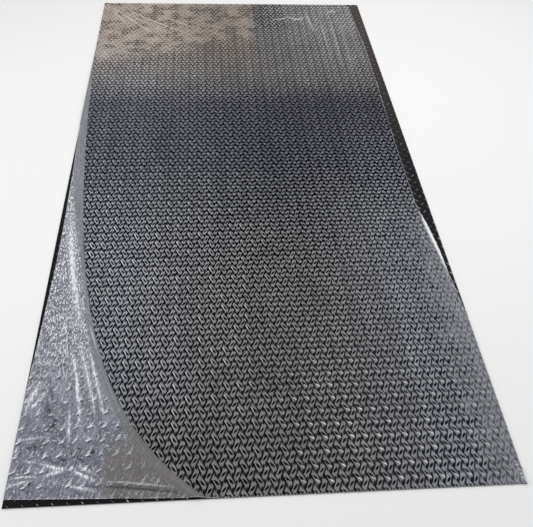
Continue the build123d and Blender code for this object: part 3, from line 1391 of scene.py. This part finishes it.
    def _trim_side(self, film: bmesh.types.BMesh, insets: tuple, side: float, inwards: int) -> None:
        """Cut one long side along a bent line, a straight run at a time.

        Args:
            film: the film, in millimetres.
            insets: the places along the sheet where the line bends, each with its inset.
            side: where the uncut side is.
            inwards: 1 where the film lies on the greater side of the line, or -1.
        """
        for along, _ in insets:
            strip = self._strip(film, side, (along - self.bend_strip, along + self.bend_strip))
            bmesh.ops.bisect_plane(film, geom=strip, plane_co=Vector((0, along, 0)),
                                   plane_no=Vector((0, 1, 0)), dist=CUT_TOLERANCE)
        for (near, near_inset), (far, far_inset) in zip(insets, insets[1:]):
            if near_inset == far_inset == 0:
                continue
            strip = self._strip(film, side, (near, far))
            place = Vector((side + inwards * near_inset, near, 0))
            run = Vector((inwards * (far_inset - near_inset), far - near, 0)).normalized()
            outwards = Vector((-inwards * run.y, inwards * run.x, 0))
            keep_inside(film, place, outwards, geometry=strip)

    def _strip(self, film: bmesh.types.BMesh, side: float, band: tuple[float, float]) -> list:
        """Gather the faces near one long side between two places along it.

        Args:
            film: the film, in millimetres.
            side: where the side is.
            band: the two places along it.

        Returns:
            The faces with their edges and corners.
        """
        faces = []
        for face in film.faces:
            centre = face.calc_center_median()
            if abs(centre.x - side) < self.side_strip and band[0] < centre.y < band[1]:
                faces.append(face)
        edges = {edge for face in faces for edge in face.edges}
        verts = {vert for face in faces for vert in face.verts}
        return [*verts, *edges, *faces]

    def _refine(self, film: bmesh.types.BMesh) -> None:
        """Halve the mesh where the film is loose, so that its creases have room.

        Args:
            film: the film, in millimetres.
        """
        loose = []
        for face in film.faces:
            centre = face.calc_center_median()
            beside = self.corner.distance(centre.x, centre.y) < self.corner.rise
            if beside and centre.y < self.finest_along:
                loose.append(face)
        edges = list({edge for face in loose for edge in face.edges})
        bmesh.ops.subdivide_edges(film, edges=edges, cuts=1, use_grid_fill=True)

    def _lift(self, film: bmesh.types.BMesh) -> None:
        """Raise the flat film over the lugs, the loose corner and the creases, and place it.

        The creases, the troughs, the curled edge and the rim are also kept for the finish.

        Args:
            film: the film, in millimetres; afterwards in metres.
        """
        places = np.array([vert.co[:2] for vert in film.verts])
        across, along = places[:, 0], places[:, 1]
        curl = self._curl(across, along)
        height = self._height(across, along) + self.curl_height * curl
        shine = np.zeros_like(across)
        contact = np.zeros_like(across)
        for fold in self.creases:
            profile = fold.profile(across, along)
            height += fold.height * profile
            shine = np.maximum(shine, fold.shine * profile)
        for trough in self.troughs:
            profile = trough.profile(across, along)
            height -= trough.height * profile
            contact = np.maximum(contact, trough.shine * profile)
        crease_layer = film.verts.layers.float.new("crease")
        contact_layer = film.verts.layers.float.new("contact")
        curl_layer = film.verts.layers.float.new("curl")
        rim_layer = film.verts.layers.float.new("rim")
        for number, vert in enumerate(film.verts):
            vert[crease_layer] = float(shine[number])
            vert[contact_layer] = float(contact[number])
            vert[curl_layer] = float(curl[number])
            vert[rim_layer] = float(vert.is_boundary)
            vert.co = self.sheet.metres(vert.co.x, vert.co.y, float(height[number]))

    def _height(self, across: np.ndarray, along: np.ndarray) -> np.ndarray:
        """Work out the height of the film's tents and of its loose corner over the flat.

        Args:
            across: places across the sheet.
            along: places along it.

        Returns:
            The heights in millimetres.
        """
        height = np.full_like(across, self.stuck)
        for lean in Lean:
            lug_along, lug_beside = self.pattern.from_nearest(across, along, lean)
            share = np.clip(lug_along / self.tent.half_length, -1.0, 1.0)
            width = np.maximum(self.tent.half_width * (1 - share ** 2), self.least_tent)
            tent = self.crest * (1 - share ** END_POWER) * np.clip(1 - np.abs(lug_beside) / width, 0.0, 1.0)
            height = np.maximum(height, tent)
        corner = self.corner
        distance = corner.distance(across, along)
        loose = smooth_rise(-distance, 0.0, corner.rise)
        widths = (corner.channel_width, corner.waist_width, corner.waist_width, corner.far_channel_width)
        middle = np.interp(along, (*corner.narrowing, *corner.widening), widths) / 2
        channel = corner.channel_height * np.clip(1 - ((distance + middle) / middle) ** 2, 0.0, 1.0)
        waves = self.wave_height
        for wave_across, wave_along in self.wave_sizes:
            waves = waves * np.sin(across / wave_across + along / wave_along)
        return np.maximum(height, loose * (corner.lift + waves) + channel)

    def _curl(self, across: np.ndarray, along: np.ndarray) -> np.ndarray:
        """Work out how far the film's right edge curls up.

        Args:
            across: places across the sheet.
            along: places along it.

        Returns:
            The share of the full curl, from 0 to 1.
        """
        turns = np.array(self.right_edge, dtype=float)
        edge = self.sheet.width - np.interp(along, turns[:, 0], turns[:, 1])
        reach = smooth_rise(along, *self.curl_start) * smooth_rise(-along, *self.curl_end)
        reach = reach + self.near_curl * smooth_rise(-along, *self.near_curl_end)
        return reach * np.clip(1 - (edge - across) / self.curl_width, 0.0, 1.0) ** 2


@dataclass(frozen=True)
class Lamp:
    """A soft square lamp: its place in metres, its power in watts and its side in metres."""

    name: str
    place: tuple[float, float, float]
    power: float
    size: float


@dataclass(frozen=True)
class Studio:
    """The pale floor, the soft light and the camera."""

    floor_size: float = 14.0
    floor_colour: str = "#f4f4f4"
    floor_roughness: float = 0.9
    camera_place: tuple = (-0.12758, -1.83721, 1.46866)
    camera_turn: tuple = (0.745436, -0.039713, -0.065921)
    focal_pixels: float = 650.47
    image_width: float = 533.0
    sensor_width: float = 36.0
    shift_across: float = 0.012
    ambient: float = 0.8
    lamps: tuple = (
        Lamp("key", (0.9, 0.6, 2.6), 27.0, 1.6),
        Lamp("left", (-2.2, -0.4, 1.8), 13.0, 1.2),
    )

    def build(self) -> None:
        """Make the floor, the world, the lamps and the camera."""
        self._floor()
        self._world()
        for lamp in self.lamps:
            self._hang(lamp)
        self._camera()

    def _floor(self) -> None:
        """Lay the pale floor that the sheet lies on."""
        floor = bmesh.new()
        bmesh.ops.create_grid(floor, x_segments=1, y_segments=1, size=self.floor_size / 2)
        data = bpy.data.meshes.new("floor")
        floor.to_mesh(data)
        floor.free()
        finish = Finish("pale_floor")
        shader = finish.add("BsdfPrincipled", named={"Base Color": linear(self.floor_colour),
                                                     "Roughness": self.floor_roughness})
        finish.add("OutputMaterial", shader)
        data.materials.append(finish.material)
        floor_object = bpy.data.objects.new("floor", data)
        bpy.context.scene.collection.objects.link(floor_object)

    def _world(self) -> None:
        """Make the world white to the eye and in reflections, and softer as a light."""
        world = bpy.data.worlds.new("studio")
        bpy.context.scene.world = world
        world.use_nodes = True
        nodes = Nodes(world.node_tree)
        seen = nodes.add("LightPath", output=Ray.CAMERA.value)
        for ray in (Ray.GLOSSY, Ray.TRANSMISSION):
            seen = nodes.add("Math", seen, nodes.add("LightPath", output=ray.value), operation="MAXIMUM")
        strength = nodes.add("MapRange", seen, 0.0, 1.0, self.ambient, 1.0)
        background = nodes.add("Background", named={"Strength": strength})
        nodes.add("OutputWorld", background)

    @staticmethod
    def _hang(lamp: Lamp) -> None:
        """Hang a lamp that points at the sheet's middle.

        Args:
            lamp: the lamp.
        """
        light = bpy.data.lights.new(lamp.name, "AREA")
        light.energy = lamp.power
        light.size = lamp.size
        hung = bpy.data.objects.new(lamp.name, light)
        hung.location = lamp.place
        hung.rotation_euler = (-Vector(lamp.place)).to_track_quat("-Z", "Y").to_euler()
        bpy.context.scene.collection.objects.link(hung)

    def _camera(self) -> None:
        """Set up the camera at the reference view."""
        data = bpy.data.cameras.new("camera")
        data.sensor_width = self.sensor_width
        data.lens = self.focal_pixels / self.image_width * self.sensor_width
        data.shift_x = self.shift_across
        camera = bpy.data.objects.new("camera", data)
        camera.location = self.camera_place
        camera.rotation_euler = self.camera_turn
        bpy.context.scene.collection.objects.link(camera)
        bpy.context.scene.camera = camera


def main() -> None:
    """Build the looks around the frame, piece by piece."""
    logging.basicConfig(level=logging.INFO, format="%(name)s: %(message)s")
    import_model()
    sheet = Sheet.from_frame()
    pattern = TreadPattern()
    metal = RolledAluminium().material(sheet)
    for slot in bpy.data.objects["tread_plate"].material_slots:
        slot.material = metal
    LOG.info("sheet dressed, %.1f x %.1f x %.3f mm", sheet.width, sheet.length, sheet.gauge)
    lugs = TreadLugs(sheet, pattern)
    for lean in Lean:
        piece = lugs.build(lean, metal)
        LOG.info("%s: %d faces", piece.name, len(piece.data.polygons))
    film = ProtectiveFilm(sheet, pattern)
    finish = ClearPolyethylene().material(sheet, pattern, film.corner)
    piece = film.build(finish)
    LOG.info("%s: %d faces", piece.name, len(piece.data.polygons))
    Studio().build()
    view = bpy.context.scene.view_settings
    view.view_transform = "Standard"


if __name__ == "__main__":
    main()
